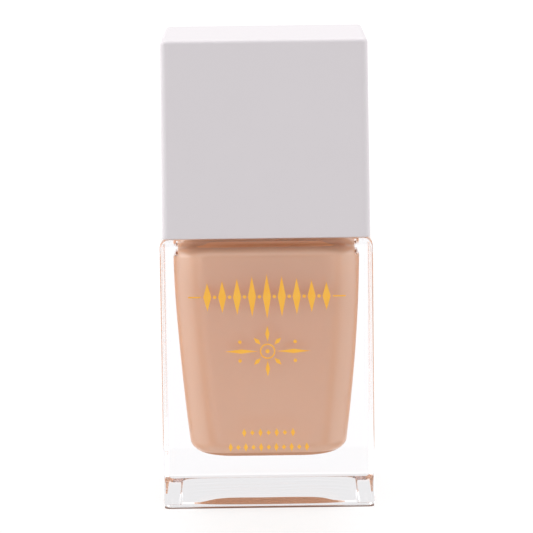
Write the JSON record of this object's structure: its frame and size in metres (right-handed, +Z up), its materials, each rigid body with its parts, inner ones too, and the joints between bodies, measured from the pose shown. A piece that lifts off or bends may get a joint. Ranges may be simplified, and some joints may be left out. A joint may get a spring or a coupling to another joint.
{
  "type": "nail polish bottle",
  "caption": "Square clear glass nail polish bottle with a white square screw cap that carries the brush, filled with nude polish.",
  "frame": {"origin": "centre of the base, on the surface the bottle stands on", "axes": "+Z up along the neck axis; the printed front faces -Y; +X is to the right seen from the front"},
  "size_m": [0.03, 0.03, 0.0665],
  "materials": {
    "glass": "clear flint glass, fire polished",
    "polish": "opaque liquid cream",
    "steel": "polished",
    "gold_print": "hot-stamped foil",
    "seal_foam": "soft polyethylene",
    "stem_plastic": "semi-gloss polyethylene",
    "bristles": "nylon filament wet with polish",
    "inner_cap_plastic": "natural polypropylene",
    "cap_plastic": "satin white"
  },
  "bodies": {
    "root": {"bottle": "glass", "polish": "polish", "mixing_balls": "steel", "front_print": "gold_print"},
    "seal": {"neck_seal": "seal_foam"},
    "brush": {"brush_stem": "stem_plastic", "brush_bristles": "bristles", "bristle_staple": "steel"},
    "cap": {"inner_cap": "inner_cap_plastic", "overcap": "cap_plastic"}
  },
  "joints": [
    {"name": "brush_lift", "type": "slide", "parent": "root", "child": "seal", "axis": [0, 0, 1], "range_m": [0, 0.05]},
    {"name": "cap_rise", "type": "slide", "parent": "seal", "child": "brush", "axis": [0, 0, 1], "range_m": [0, 0.00424]},
    {"name": "cap_turn", "type": "hinge", "parent": "brush", "child": "cap", "pos_m": [0, 0, 0.0385], "axis": [0, 0, 1], "range_deg": [0, 720]}
  ],
  "couplings": [
    {"joint": "cap_rise", "follows": "cap_turn", "m_per_rad": 0.00033693}
  ]
}
